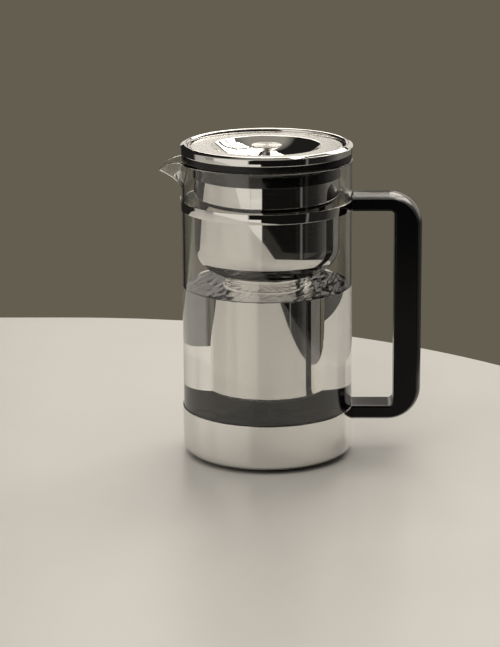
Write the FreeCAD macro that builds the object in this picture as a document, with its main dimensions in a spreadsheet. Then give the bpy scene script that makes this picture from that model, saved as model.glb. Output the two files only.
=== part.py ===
"""A glass water filter pitcher with a steel filter insert, a drop-in cartridge and a lid.

Frame: origin on the jug's axis at table height, +Z up, +X towards the handle, spout at -X.
All sizes are millimetres. Every height follows from the stack of pieces, from the table up.
"""
import FreeCAD, Part
import math
import os
import Sketcher
from FreeCAD import Vector
from types import SimpleNamespace

doc = FreeCAD.newDocument("water_filter_pitcher")

# Driving sizes
SIZES = {
    # Glass jar
    "jar_radius": 71.0,
    "jar_height": 247.6,
    "glass_wall": 2.5,
    "glass_floor": 4.0,
    "jar_heel": 8.2,
    "jar_inner_heel": 7.0,
    # Pulled spout
    "spout_reach": 18.3,
    "spout_drop": 9.87,
    "spout_root": 27.0,
    "spout_sink": 0.25,
    # Steel cup, seat and foot
    "foot_pad_height": 1.6,
    "foot_pad_inset": 1.3,
    "cushion_height": 1.2,
    "cushion_inset": 2.8,
    "glass_fit": 0.2,
    "cup_sheet": 0.6,
    "cup_height": 39.7,
    # Neck band
    "band_below_spout": 5.5,
    "band_height": 8.2,
    # Handle
    "finger_gap": 33.9,
    "handle_width": 27.6,
    "grip_depth": 18.9,
    "upper_bar": 10.1,
    "upper_bar_rise": 0.5,
    "lower_bar": 10.0,
    "lower_bar_rise": 0.9,
    "handle_swell": 4.2,
    "swell_foot": 1.0,
    "handle_outer_corner": 23.7,
    "handle_inner_corner": 4.0,
    "handle_outer_edge": 0.8,
    "handle_inner_edge": 2.0,
    "handle_gap": 0.2,
    # Handle brackets and screws
    "tongue_length": 21.0,
    "tongue_width": 18.0,
    "tongue_sheet": 2.0,
    "tongue_clearance": 0.1,
    "screw_from_wall": 14.0,
    "screw_radius": 2.0,
    "screw_head_radius": 3.6,
    "screw_head_height": 2.2,
    "screw_fit": 0.05,
    "screw_head_clearance": 0.3,
    "screw_seat_wall": 2.0,
    "screw_recess": 2.4,
    # Reservoir bowl: a drawn bottom with a neck, and a straight wall
    "pouring_gap": 8.0,
    "bowl_sheet": 0.7,
    "bowl_depth": 101.9,
    "bowl_flat": 1.85,
    "bowl_lip": 2.0,
    "neck_height": 11.0,
    # Rim ring with its lid ledge and rolled edge
    "ledge_below_rim": 6.1,
    "rim_sheet": 0.7,
    "rim_overhang": 0.3,
    "rim_width": 6.3,
    "rim_height": 7.4,
    "rim_flat": 0.3,
    "rim_bead": 2.95,
    # Black seal and collar between the insert and the glass
    "gasket_height": 6.1,
    "gasket_headroom": 0.5,
    "gasket_lip_depth": 1.7,
    "gasket_lip_width": 2.1,
    "channel_fit": 0.2,
    "seat_gap": 0.3,
    "soft_gap": 0.4,
    "collar_sleeve": 0.7,
    "collar_step_width": 2.2,
    "collar_height": 19.8,
    "collar_step_height": 10.5,
    "assembly_fit": 0.1,
    # Filter housing
    "housing_radius": 35.4,
    "housing_sheet": 0.7,
    "housing_length": 100.3,
    "housing_corner": 2.5,
    "housing_below_bowl": 1.0,
    "weld_fit": 0.05,
    "drain_radius": 1.8,
    "drain_inner_ring": 13.0,
    "drain_margin": 9.7,
    # Cartridge
    "cartridge_gap": 0.75,
    "cartridge_wall": 1.4,
    "cartridge_floor": 1.6,
    "cartridge_above_floor": 2.7,
    "cap_neck": 8.5,
    "cap_plug": 4.6,
    "cap_wall": 1.6,
    "cap_flange_inset": 0.6,
    "cap_flange_height": 1.8,
    "cap_dome_rise": 4.2,
    "cap_crown": 14.0,
    "pull_radius": 9.0,
    "pull_neck": 4.5,
    "pull_height": 8.0,
    "pull_plate": 2.2,
    "seal_height": 2.2,
    "seal_cover": 2.85,
    "slot_width": 2.4,
    "cap_slot_land": 1.5,
    "cap_slot_margin": 4.7,
    "floor_slot_inner": 8.0,
    "floor_slot_margin": 4.8,
    "mesh_height": 1.2,
    "resin_height": 39.0,
    # Lid
    "lid_gap": 1.9,
    "lid_below_rim": 2.5,
    "lid_sheet": 0.7,
    "lid_edge": 1.2,
    "lid_border": 17.7,
    "dish_depth": 16.0,
    "dish_land": 1.0,
    "dish_straight": 5.5,
    "dish_lip": 1.5,
    "lid_seal_lip": 2.0,
    "lid_seal_depth": 5.0,
    # Knob
    "knob_radius": 12.65,
    "knob_rise": 0.5,
    "knob_edge": 0.9,
    "knob_cone": 4.5,
    "knob_neck": 1.5,
    "stem_radius": 3.6,
    "knob_screw_grip": 8.0,
    "knob_hole_spare": 1.0,
    "washer_radius": 4.8,
    "washer_height": 1.0,
}

# Counts of repeated features
DRAINS_INNER = 6
DRAINS_OUTER = 12
CARTRIDGE_SLOTS = 8

# Form of the spout, with angles in degrees round the jar
SPOUT_SECTIONS = 7
SPOUT_POINTS = 25
SPOUT_HALF_ANGLE = 32.0
SPOUT_FADE_ANGLE = 5.0
SPOUT_TIP_ANGLE = 1.2
SPOUT_INNER_NARROWING = 0.88
LIP_SWEEP = 80.0

# Share of the handle's width by which its bars start inside the wall, before they are cut to fit it
BAR_OVERRUN = 0.25

# Coordinates this close count as the same
SAME = 1e-6

# The two ends of a line or arc in a sketch
START, END = range(1, 3)


class Size:
    """A length with its value and the sheet expression that gives it."""

    def __init__(self, value, text):
        self.value = value
        self.text = text

    def __add__(self, other):
        other = as_size(other)
        return Size(self.value + other.value, f"({self.text} + {other.text})")

    def __sub__(self, other):
        other = as_size(other)
        return Size(self.value - other.value, f"({self.text} - {other.text})")

    def __mul__(self, other):
        other = as_size(other)
        return Size(self.value * other.value, f"({self.text} * {other.text})")

    def __truediv__(self, other):
        other = as_size(other)
        return Size(self.value / other.value, f"({self.text} / {other.text})")

    def __neg__(self):
        return self * -1


def as_size(number):
    return number if isinstance(number, Size) else Size(float(number), str(number))


def make_sheet():
    """The spreadsheet of driving sizes, and the same sizes by name."""
    sheet = doc.addObject("Spreadsheet::Sheet", "Dimensions")
    for row, (name, value) in enumerate(SIZES.items(), start=1):
        sheet.set(f"A{row}", name.replace("_", " "))
        sheet.set(f"B{row}", str(value))
        sheet.setAlias(f"B{row}", name)
    doc.recompute()
    return SimpleNamespace(**{name: Size(float(sheet.get(name)), f"Dimensions.{name}") for name in SIZES})


d = make_sheet()
nodes = []

# Heights that several pieces share
cup_floor = d.foot_pad_height + d.cup_sheet
jar_bottom = cup_floor + d.cushion_height
jar_rim = jar_bottom + d.jar_height
cup_rim = d.foot_pad_height + d.cup_height
band_top = jar_rim - d.spout_root - d.band_below_spout
rim_low = jar_rim + d.gasket_height
rim_top = rim_low + d.rim_height
ledge = rim_top - d.ledge_below_rim
ledge_under = ledge - d.rim_sheet
bowl_bottom = ledge_under - d.bowl_depth
bowl_floor = bowl_bottom + d.bowl_sheet
housing_top = bowl_bottom - d.housing_below_bowl
housing_bottom = housing_top - d.housing_length
lid_top = rim_top - d.lid_below_rim
dish_bottom = lid_top - d.dish_depth

# Radii that several pieces share
glass_inside = d.jar_radius - d.glass_wall
steel_outside = d.jar_radius + d.glass_fit + d.cup_sheet
cup_heel = d.jar_heel + d.glass_fit + d.cup_sheet
bowl_radius = glass_inside - d.pouring_gap
bowl_inside = bowl_radius - d.bowl_sheet
rim_outside = d.jar_radius + d.rim_overhang
rim_inside = rim_outside - d.rim_width
channel_outside = rim_outside - d.rim_sheet
channel_inside = rim_inside + d.rim_sheet
housing_inside = d.housing_radius - d.housing_sheet
neck_outside = housing_inside - d.weld_fit
neck_inside = neck_outside - d.bowl_sheet
lid_radius = rim_inside - d.lid_gap


def corner(across, up, rounding=None):
    """One corner of an outline, with the radius of its rounding if it has one."""
    return as_size(across), as_size(up), rounding


def bind(sketch, kind, geometry, position, size):
    """Hold one coordinate of a sketch point at a size, or on the axis where it is zero."""
    if size.value == 0:
        axis = -2 if kind == "DistanceX" else -1
        sketch.addConstraint(Sketcher.Constraint("PointOnObject", geometry, position, axis))
        return
    index = sketch.addConstraint(Sketcher.Constraint(kind, geometry, position, size.value))
    sketch.setExpression(f"Constraints[{index}]", size.text)


def origin_feature(body, role):
    return next(feature for feature in body.Origin.OriginFeatures if feature.Role == role)


def outline_sketch(body, corners, name="outline", closed=True):
    """An outline in the body's XZ plane: straight lines with rounded corners between them."""
    sketch = body.newObject("Sketcher::SketchObject", f"{body.Name}_{name}")
    sketch.AttachmentSupport = (origin_feature(body, "XZ_Plane"), [""])
    sketch.MapMode = "FlatFace"
    count = len(corners)
    points = [Vector(across.value, up.value, 0) for across, up, _ in corners]
    entries, exits, arcs = list(points), list(points), {}
    for i, (_, _, rounding) in enumerate(corners):
        if rounding is None:
            continue
        back = (points[i - 1] - points[i]).normalize()
        ahead = (points[(i + 1) % count] - points[i]).normalize()
        half_angle = back.getAngle(ahead) / 2
        entries[i] = points[i] + back * (rounding.value / math.tan(half_angle))
        exits[i] = points[i] + ahead * (rounding.value / math.tan(half_angle))
        inward = (back + ahead).normalize()
        middle = points[i] + inward * (rounding.value / math.sin(half_angle) - rounding.value)
        arcs[i] = Part.Arc(entries[i], middle, exits[i])
    for i in range(count if closed else count - 1):
        sketch.addGeometry(Part.LineSegment(exits[i], entries[(i + 1) % count]), False)
    for i, (across, up, rounding) in enumerate(corners):
        line_in, line_out = (i - 1) % count, i
        if not closed and i in (0, count - 1):
            line, end = (line_out, START) if i == 0 else (line_in, END)
            bind(sketch, "DistanceX", line, end, across)
            bind(sketch, "DistanceY", line, end, up)
            continue
        if rounding is None:
            sketch.addConstraint(Sketcher.Constraint("Coincident", line_in, END, line_out, START))
            bind(sketch, "DistanceX", line_out, START, across)
            bind(sketch, "DistanceY", line_out, START, up)
            continue
        arc = sketch.addGeometry(arcs[i], False)
        point = sketch.addGeometry(Part.Point(points[i]), True)
        bind(sketch, "DistanceX", point, START, across)
        bind(sketch, "DistanceY", point, START, up)
        sketch.addConstraint(Sketcher.Constraint("PointOnObject", point, START, line_in))
        sketch.addConstraint(Sketcher.Constraint("PointOnObject", point, START, line_out))
        starts_in = sketch.getPoint(arc, START).distanceToPoint(entries[i]) < SAME
        first, last = (START, END) if starts_in else (END, START)
        sketch.addConstraint(Sketcher.Constraint("Tangent", line_in, END, arc, first))
        sketch.addConstraint(Sketcher.Constraint("Tangent", arc, last, line_out, START))
        index = sketch.addConstraint(Sketcher.Constraint("Radius", arc, rounding.value))
        sketch.setExpression(f"Constraints[{index}]", rounding.text)
    return sketch


def new_body(name):
    body = doc.addObject("PartDesign::Body", name)
    body.Label = name
    nodes.append(body)
    return body


def turned(name, corners):
    """A body turned about the jug's axis from an outline of (radius, height) corners."""
    body = new_body(name)
    sketch = outline_sketch(body, corners)
    turn = body.newObject("PartDesign::Revolution", name + "_turned")
    turn.Profile = sketch
    turn.ReferenceAxis = (sketch, ["V_Axis"])
    turn.Angle = 360
    doc.recompute()
    return body


def pressed(name, path, sheet):
    """A turned body of even sheet, which lies on the left of a path of level and upright runs."""
    runs = []
    for (across, up, _), (next_across, next_up, _) in zip(path, path[1:]):
        along = (next_across.value - across.value, next_up.value - up.value)
        length = math.hypot(*along)
        runs.append((round(along[0] / length), round(along[1] / length)))
    left_side = []
    for i, (across, up, rounding) in enumerate(path):
        before, after = runs[max(i - 1, 0)], runs[min(i, len(runs) - 1)]
        shift = (-before[1], before[0])
        if before != after:
            shift = (shift[0] - after[1], shift[1] + after[0])
        turn = before[0] * after[1] - before[1] * after[0]
        inner_rounding = None if rounding is None else rounding - sheet * turn
        left_side.append(corner(across + sheet * shift[0] if shift[0] else across,
                                up + sheet * shift[1] if shift[1] else up, inner_rounding))
    return turned(name, list(path) + left_side[::-1])


def ring(name, inside, outside, low, high):
    return turned(name, [corner(inside, low), corner(outside, low), corner(outside, high), corner(inside, high)])


def disc(name, radius, low, high):
    return ring(name, 0, radius, low, high)


def move(feature, across=None, along=None, up=None):
    """Bind a primitive's position to sizes."""
    for axis, size in (("x", across), ("y", along), ("z", up)):
        if size is not None:
            feature.setExpression(f"Placement.Base.{axis}", size.text)


def primitive(kind, name, sizes, owner=None, **place):
    """A box or cylinder with its sizes and place bound to the sheet."""
    feature = owner.newObject(kind, name) if owner else doc.addObject(kind, name)
    for prop, size in sizes.items():
        feature.setExpression(prop, size.text)
    move(feature, **place)
    return feature


def cut(body, kind, name, sizes, count=1, **place):
    """Take a box or cylinder out of a body, once or in a ring about the axis."""
    before = body.Shape.Volume
    feature = primitive("PartDesign::Subtractive" + kind, name, sizes, owner=body, **place)
    doc.recompute()
    if count > 1:
        pattern = body.newObject("PartDesign::PolarPattern", name + "_ring")
        pattern.Originals = [feature]
        pattern.Axis = (origin_feature(body, "Z_Axis"), [""])
        pattern.Angle = 360
        pattern.Occurrences = count
        body.Tip = pattern
        doc.recompute()
    if body.Shape.Volume >= before:
        raise RuntimeError(name + " removed nothing")


def round_edges(body, name, edges, radius):
    sharp = body.Tip
    fillet = body.newObject("PartDesign::Fillet", name)
    fillet.Base = (sharp, edges)
    fillet.setExpression("Radius", radius.text)
    doc.recompute()


# Glass jar with a pulled spout
def spout_core(wall_radius, narrowing, height_over_rim):
    """A solid beak: level sections that swell out of the wall, growing with the square of the height."""
    root = jar_rim.value - d.spout_root.value
    tip = jar_rim.value - d.spout_drop.value
    growth = (d.spout_reach.value + d.spout_sink.value) / (tip - root) ** 2
    fade = SPOUT_FADE_ANGLE * narrowing
    top = jar_rim.value + height_over_rim
    sections = []
    for step in range(SPOUT_SECTIONS):
        height = root + (top - root) * step / (SPOUT_SECTIONS - 1)
        pull = growth * (height - root) ** 2
        points = []
        for k in range(SPOUT_POINTS):
            spread = 2 * k / (SPOUT_POINTS - 1) - 1
            angle = SPOUT_HALF_ANGLE * spread * abs(spread)
            swell = math.exp((SPOUT_TIP_ANGLE - math.hypot(angle, SPOUT_TIP_ANGLE)) / fade)
            radius = wall_radius - d.spout_sink.value + pull * swell
            turn = math.radians(180 + angle)
            points.append(Vector(radius * math.cos(turn), radius * math.sin(turn), height))
        curve = Part.BSplineCurve()
        curve.interpolate(points)
        sections.append(Part.Wire([curve.toShape(), Part.makeLine(points[-1], points[0])]))
    return Part.makeLoft(sections, True, False)


def lip_cutter():
    """What lies above the spout's lip, which curls down from the rim to the tip in one arc."""
    x, z = -d.jar_radius.value, jar_rim.value
    curl = (d.spout_reach.value ** 2 + d.spout_drop.value ** 2) / (2 * d.spout_drop.value)
    sweep = math.radians(LIP_SWEEP)
    start = Vector(x, 0, z)
    middle = Vector(x - curl * math.sin(sweep / 2), 0, z - curl * (1 - math.cos(sweep / 2)))
    end = Vector(x - curl * math.sin(sweep), 0, z - curl * (1 - math.cos(sweep)))
    high = z + curl
    far = Vector(x - 2 * curl, 0, end.z)
    corners = [end, far, Vector(far.x, 0, high), Vector(x, 0, high), start]
    edges = [Part.Arc(start, middle, end).toShape()]
    edges += [Part.makeLine(a, b) for a, b in zip(corners, corners[1:])]
    width = d.jar_radius.value
    return Part.Face(Part.Wire(edges)).extrude(Vector(0, 2 * width, 0)).translated(Vector(0, -width, 0))


def round_bottomed(radius, bottom, top, heel):
    """A cylinder with a rounded lower edge."""
    solid = Part.makeCylinder(radius, top - bottom, Vector(0, 0, bottom))
    lower = [e for e in solid.Edges if len(e.Vertexes) == 1 and abs(e.BoundBox.ZMax - bottom) < SAME]
    return solid.makeFillet(heel, lower)


def make_glass_jar():
    over = d.glass_wall.value
    outside = round_bottomed(d.jar_radius.value, jar_bottom.value, jar_rim.value, d.jar_heel.value)
    outside = outside.fuse(spout_core(d.jar_radius.value, 1.0, 0.0))
    inside = round_bottomed(glass_inside.value, jar_bottom.value + d.glass_floor.value,
                            jar_rim.value + over, d.jar_inner_heel.value)
    inside = inside.fuse(spout_core(glass_inside.value, SPOUT_INNER_NARROWING, over))
    jar = doc.addObject("Part::Feature", "glass_jar")
    jar.Shape = outside.cut(inside).cut(lip_cutter()).removeSplitter().Solids[0]
    nodes.append(jar)


make_glass_jar()

# Steel cup, its silicone seat and foot
pressed("base_cup", [
    corner(0, d.foot_pad_height),
    corner(steel_outside, d.foot_pad_height, cup_heel),
    corner(steel_outside, cup_rim)], d.cup_sheet)
disc("base_cushion", d.jar_radius - d.jar_heel - d.cushion_inset, cup_floor, jar_bottom)
disc("foot_pad", steel_outside - cup_heel - d.foot_pad_inset, as_size(0), d.foot_pad_height)

# Neck band that holds the handle's upper end
ring("neck_band", steel_outside - d.cup_sheet, steel_outside, band_top - d.band_height, band_top)

# Handle: a D with flat sides, a flat inside and an outside that swells to fit the palm
handle_top = band_top + d.upper_bar_rise
upper_under = handle_top - d.upper_bar
lower_top = cup_rim + d.lower_bar_rise
lower_under = lower_top - d.lower_bar
grip_inside = steel_outside + d.finger_gap
handle_outside = grip_inside + d.grip_depth
handle_seat = steel_outside + d.handle_gap
bar_start = d.jar_radius - d.handle_width * BAR_OVERRUN
screw_x = steel_outside + d.screw_from_wall
tongue_rise = d.screw_recess + d.screw_seat_wall
bars = {"upper": upper_under, "lower": lower_under}
recess_mouths = {"upper": upper_under, "lower": lower_under - d.handle_swell}


def handle_edges(shape):
    """Names of the outer and the inner edges along the handle's two sides, leaving out its ends."""
    outer, inner = [], []
    side = d.handle_width.value / 2
    for index, edge in enumerate(shape.Edges, start=1):
        box = edge.BoundBox
        along_side = abs(abs(box.YMin) - side) < SAME and abs(box.YMax - box.YMin) < SAME
        if not along_side or box.XMax < bar_start.value + SAME:
            continue
        in_gap = box.XMax < grip_inside.value + SAME
        in_gap = in_gap and lower_top.value - SAME < box.ZMin and box.ZMax < upper_under.value + SAME
        (inner if in_gap else outer).append(f"Edge{index}")
    return outer, inner


def swell_section(body):
    """The swell's section across the upper bar: a flat foot in the bar under a round back."""
    side, top = d.handle_width * 0.5, handle_top
    foot = top - d.swell_foot
    rounding = (side * side + d.handle_swell * d.handle_swell) / (d.handle_swell * 2)
    sketch = body.newObject("Sketcher::SketchObject", "handle_swell_section")
    sketch.AttachmentSupport = (origin_feature(body, "YZ_Plane"), [""])
    sketch.MapMode = "FlatFace"
    sketch.setExpression("AttachmentOffset.Base.z", bar_start.text)
    spots = [(-side, foot), (side, foot), (side, top), (-side, top)]
    points = [Vector(across.value, up.value, 0) for across, up in spots]
    for line in range(3):
        sketch.addGeometry(Part.LineSegment(points[line - 1], points[line]), False)
    back = Vector(0, top.value + d.handle_swell.value, 0)
    arc = sketch.addGeometry(Part.Arc(points[2], back, points[3]), False)
    for line, (across, up) in enumerate(spots[:3]):
        bind(sketch, "DistanceX", line, END, across)
        bind(sketch, "DistanceY", line, END, up)
    bind(sketch, "DistanceX", 0, START, spots[3][0])
    bind(sketch, "DistanceY", 0, START, spots[3][1])
    sketch.addConstraint(Sketcher.Constraint("Coincident", 0, END, 1, START))
    sketch.addConstraint(Sketcher.Constraint("Coincident", 1, END, 2, START))
    sketch.addConstraint(Sketcher.Constraint("Coincident", 2, END, arc, START))
    sketch.addConstraint(Sketcher.Constraint("Coincident", 0, START, arc, END))
    index = sketch.addConstraint(Sketcher.Constraint("Radius", arc, rounding.value))
    sketch.setExpression(f"Constraints[{index}]", rounding.text)
    return sketch


def make_handle():
    body = new_body("handle")
    outside = [
        corner(bar_start, handle_top),
        corner(handle_outside, handle_top, d.handle_outer_corner),
        corner(handle_outside, lower_under, d.handle_outer_corner),
        corner(bar_start, lower_under)]
    sketch = outline_sketch(body, outside + [
        corner(bar_start, lower_top),
        corner(grip_inside, lower_top, d.handle_inner_corner),
        corner(grip_inside, upper_under, d.handle_inner_corner),
        corner(bar_start, upper_under)])
    pad = body.newObject("PartDesign::Pad", "handle_blank")
    pad.Profile = sketch
    pad.SideType = "Symmetric"
    pad.setExpression("Length", d.handle_width.text)
    doc.recompute()
    swell = body.newObject("PartDesign::AdditivePipe", "handle_swell")
    swell.Profile = swell_section(body)
    swell.Spine = outline_sketch(body, outside, "path", closed=False)
    doc.recompute()
    outer, _ = handle_edges(body.Shape)
    round_edges(body, "handle_outer_edges", outer, d.handle_outer_edge)
    _, inner = handle_edges(body.Shape)
    round_edges(body, "handle_inner_edges", inner, d.handle_inner_edge)
    cut(body, "Cylinder", "handle_seat", {"Radius": handle_seat, "Height": jar_rim})
    for name, under in bars.items():
        slot_side = d.tongue_width * 0.5 + d.tongue_clearance
        cut(body, "Box", name + "_slot", {
            "Length": steel_outside + d.tongue_length + d.tongue_clearance - bar_start,
            "Width": slot_side * 2,
            "Height": d.tongue_sheet + d.tongue_clearance * 2,
        }, across=bar_start, along=-slot_side, up=under + tongue_rise - d.tongue_clearance)
        cut(body, "Cylinder", name + "_screw_hole", {
            "Radius": d.screw_radius + d.screw_fit,
            "Height": tongue_rise + d.tongue_sheet,
        }, across=screw_x, up=under)
        cut(body, "Cylinder", name + "_screw_recess", {
            "Radius": d.screw_head_radius + d.screw_head_clearance,
            "Height": under + d.screw_recess - recess_mouths[name],
        }, across=screw_x, up=recess_mouths[name])


make_handle()


def make_bracket(name, under):
    """A flat steel tongue, welded edge-on to the steel and tapped for the handle's screw."""
    low = under + tongue_rise
    plate = primitive("Part::Box", name + "_plate", {
        "Length": d.tongue_length + steel_outside - bar_start,
        "Width": d.tongue_width,
        "Height": d.tongue_sheet,
    }, across=bar_start, along=d.tongue_width * -0.5, up=low)
    drum = primitive("Part::Cylinder", name + "_drum", {"Radius": steel_outside, "Height": jar_rim})
    hole = primitive("Part::Cylinder", name + "_hole", {
        "Radius": d.screw_radius + d.screw_fit,
        "Height": d.tongue_sheet,
    }, across=screw_x, up=low)
    trimmed = doc.addObject("Part::Cut", name + "_trimmed")
    trimmed.Base, trimmed.Tool = plate, drum
    bracket = doc.addObject("Part::Cut", name)
    bracket.Base, bracket.Tool = trimmed, hole
    nodes.append(bracket)


def make_handle_screw(name, under):
    seat = under + d.screw_recess
    head = primitive("Part::Cylinder", name + "_head", {
        "Radius": d.screw_head_radius,
        "Height": d.screw_head_height,
    }, across=screw_x, up=seat - d.screw_head_height)
    shank = primitive("Part::Cylinder", name + "_shank", {
        "Radius": d.screw_radius,
        "Height": d.screw_seat_wall + d.tongue_sheet,
    }, across=screw_x, up=seat)
    screw = doc.addObject("Part::Fuse", name)
    screw.Base, screw.Tool = head, shank
    return screw


for bar_name, bar_under in bars.items():
    make_bracket(bar_name + "_bracket", bar_under)
screws = doc.addObject("Part::Compound", "handle_screws")
screws.Links = [make_handle_screw(name + "_screw", under) for name, under in bars.items()]
nodes.append(screws)

# Reservoir bowl: a drawn bottom with its neck, and a straight wall welded on above the rounding
bowl_corner = bowl_radius - neck_outside - d.bowl_flat
wall_low = bowl_bottom + bowl_corner + d.bowl_lip
pressed("reservoir_bowl", [
    corner(neck_outside, bowl_bottom - d.neck_height),
    corner(neck_outside, bowl_bottom),
    corner(bowl_radius, bowl_bottom, bowl_corner),
    corner(bowl_radius, wall_low)], d.bowl_sheet)
ring("reservoir_wall", bowl_inside, bowl_radius, wall_low, ledge_under)

# Rim ring: the lid's ledge and a rolled edge that opens downwards over the gasket, in one spun sheet
rim_inner_bead = channel_outside - channel_inside - d.rim_flat - d.rim_bead
pressed("rim_ring", [
    corner(bowl_inside, ledge_under),
    corner(channel_inside, ledge_under),
    corner(channel_inside, rim_top - d.rim_sheet, rim_inner_bead),
    corner(channel_outside, rim_top - d.rim_sheet, d.rim_bead),
    corner(channel_outside, rim_low)], d.rim_sheet)

# Filter housing: a drawn tube with drain holes in its floor
housing = pressed("filter_housing", [
    corner(0, housing_bottom),
    corner(d.housing_radius, housing_bottom, d.housing_corner),
    corner(d.housing_radius, housing_top)], d.housing_sheet)
for ring_name, ring_radius, drains in (("inner_drains", d.drain_inner_ring, DRAINS_INNER),
                                       ("outer_drains", housing_inside - d.drain_margin, DRAINS_OUTER)):
    cut(housing, "Cylinder", ring_name, {"Radius": d.drain_radius, "Height": d.housing_sheet},
        count=drains, across=ring_radius, up=housing_bottom)

# Black collar that centres the bowl in the glass, and the gasket in the rolled rim
collar_inside = bowl_radius + d.assembly_fit
collar_waist = collar_inside + d.collar_sleeve
collar_outside = collar_waist + d.collar_step_width
collar_top = ledge_under - d.assembly_fit
collar_low = collar_top - d.collar_height
collar_step = collar_top - d.collar_step_height
turned("bowl_collar", [
    corner(collar_inside, collar_low),
    corner(collar_waist, collar_low),
    corner(collar_waist, collar_step),
    corner(collar_outside, collar_step),
    corner(collar_outside, collar_top),
    corner(collar_inside, collar_top)])
gasket_seat = jar_rim + d.seat_gap
gasket_top = rim_top - d.rim_sheet - d.rim_bead - d.gasket_headroom
gasket_outside = channel_outside - d.channel_fit
gasket_lip = glass_inside - d.soft_gap
gasket_inside = collar_outside + d.soft_gap
leg_inside = channel_inside + d.assembly_fit
turned("rim_gasket", [
    corner(gasket_inside, gasket_seat),
    corner(gasket_lip - d.gasket_lip_width, gasket_seat),
    corner(gasket_lip - d.gasket_lip_width, jar_rim - d.gasket_lip_depth),
    corner(gasket_lip, jar_rim - d.gasket_lip_depth),
    corner(gasket_lip, gasket_seat),
    corner(gasket_outside, gasket_seat),
    corner(gasket_outside, gasket_top),
    corner(leg_inside, gasket_top),
    corner(leg_inside, collar_top),
    corner(gasket_inside, collar_top)])

# Cartridge: it hangs by its cap in the bowl's neck, sealed under the cap's flange
cartridge_radius = neck_inside - d.cartridge_gap
cartridge_inside = cartridge_radius - d.cartridge_wall
seal_low = bowl_floor + d.seat_gap
flange_low = seal_low + d.seal_height
flange_top = flange_low + d.cap_flange_height
shell_top = flange_low - d.cap_neck
shell_bottom = housing_bottom + d.housing_sheet + d.cartridge_above_floor
plug_radius = cartridge_inside - d.assembly_fit
plug_low = shell_top - d.cap_plug
plug_inside = plug_radius - d.cap_wall
crown = flange_top + d.cap_dome_rise
pull_top = crown + d.pull_height
pull_low = pull_top - d.pull_plate
seal_radius = neck_outside + d.seal_cover
cap_flange = seal_radius - d.cap_flange_inset
cap_slot_inner = d.cap_crown + d.cap_slot_land
shell = turned("cartridge_shell", [
    corner(0, shell_bottom),
    corner(cartridge_radius, shell_bottom),
    corner(cartridge_radius, shell_top),
    corner(cartridge_inside, shell_top),
    corner(cartridge_inside, shell_bottom + d.cartridge_floor),
    corner(0, shell_bottom + d.cartridge_floor)])
cut(shell, "Box", "outlet_slots", {
    "Length": cartridge_inside - d.floor_slot_margin - d.floor_slot_inner,
    "Width": d.slot_width,
    "Height": d.cartridge_floor,
}, count=CARTRIDGE_SLOTS, across=d.floor_slot_inner, along=d.slot_width * -0.5, up=shell_bottom)
cap = turned("cartridge_cap", [
    corner(plug_inside, plug_low),
    corner(plug_radius, plug_low),
    corner(plug_radius, shell_top),
    corner(cartridge_radius, shell_top),
    corner(cartridge_radius, flange_low),
    corner(cap_flange, flange_low),
    corner(cap_flange, flange_top),
    corner(cartridge_radius, flange_top),
    corner(d.cap_crown, crown),
    corner(d.pull_neck, crown),
    corner(d.pull_neck, pull_low),
    corner(d.pull_radius, pull_low),
    corner(d.pull_radius, pull_top),
    corner(0, pull_top),
    corner(0, crown - d.cap_wall),
    corner(d.cap_crown, crown - d.cap_wall),
    corner(plug_inside, flange_top - d.cap_wall)])
cut(cap, "Box", "inlet_slots", {
    "Length": cartridge_radius - d.cap_slot_margin - cap_slot_inner,
    "Width": d.slot_width,
    "Height": d.cap_dome_rise + d.cap_wall,
}, count=CARTRIDGE_SLOTS, across=cap_slot_inner, along=d.slot_width * -0.5, up=flange_top - d.cap_wall)
ring("cartridge_seal", cartridge_radius + d.assembly_fit, seal_radius, seal_low, flange_low)

# Filter bed, stacked from the cartridge's floor to the cap's plug
bed_low = shell_bottom + d.cartridge_floor
resin_low = bed_low + d.mesh_height
resin_top = resin_low + d.resin_height
carbon_low = resin_top + d.mesh_height
carbon_top = plug_low - d.mesh_height
for layer, low, high in (("outlet_mesh", bed_low, resin_low), ("resin_bed", resin_low, resin_top),
                         ("bed_divider", resin_top, carbon_low), ("carbon_bed", carbon_low, carbon_top),
                         ("inlet_mesh", carbon_top, plug_low)):
    disc(layer, plug_radius, low, high)

# Lid: a spun disc with a dished middle and a turned-down edge
lid_under = lid_top - d.lid_sheet
dish_under = dish_bottom - d.lid_sheet
skirt_low = ledge + d.seat_gap
skirt_inside = lid_radius - d.lid_sheet
knob_hole = d.screw_radius + d.screw_fit

# The dish curves up from its flat middle in one arc, then runs straight to its lip
dish_radius = lid_radius - d.lid_border
dish_flat = d.washer_radius + d.dish_land
dish_run = dish_radius - dish_flat
dish_tangent = dish_run * dish_run + d.dish_depth * d.dish_depth - d.dish_straight * d.dish_straight
dish_tangent = dish_tangent / ((dish_run + d.dish_straight) * 2)
dish_corner = dish_flat + dish_tangent
dish_curve = dish_tangent * d.dish_depth / (dish_tangent * 2 + d.dish_straight - dish_run)
turned("lid_disc", [
    corner(knob_hole, dish_bottom),
    corner(dish_corner, dish_bottom, dish_curve),
    corner(dish_radius, lid_top, d.dish_lip),
    corner(lid_radius, lid_top, d.lid_edge),
    corner(lid_radius, skirt_low),
    corner(skirt_inside, skirt_low),
    corner(skirt_inside, lid_under),
    corner(dish_radius, lid_under),
    corner(dish_corner, dish_under, dish_curve),
    corner(knob_hole, dish_under)])
lip_outside = bowl_inside - d.soft_gap
lid_seal_outside = skirt_inside - d.assembly_fit
turned("lid_seal", [
    corner(lip_outside - d.lid_seal_lip, ledge - d.lid_seal_depth),
    corner(lip_outside, ledge - d.lid_seal_depth),
    corner(lip_outside, skirt_low),
    corner(lid_seal_outside, skirt_low),
    corner(lid_seal_outside, lid_under),
    corner(lip_outside - d.lid_seal_lip, lid_under)])

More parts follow.
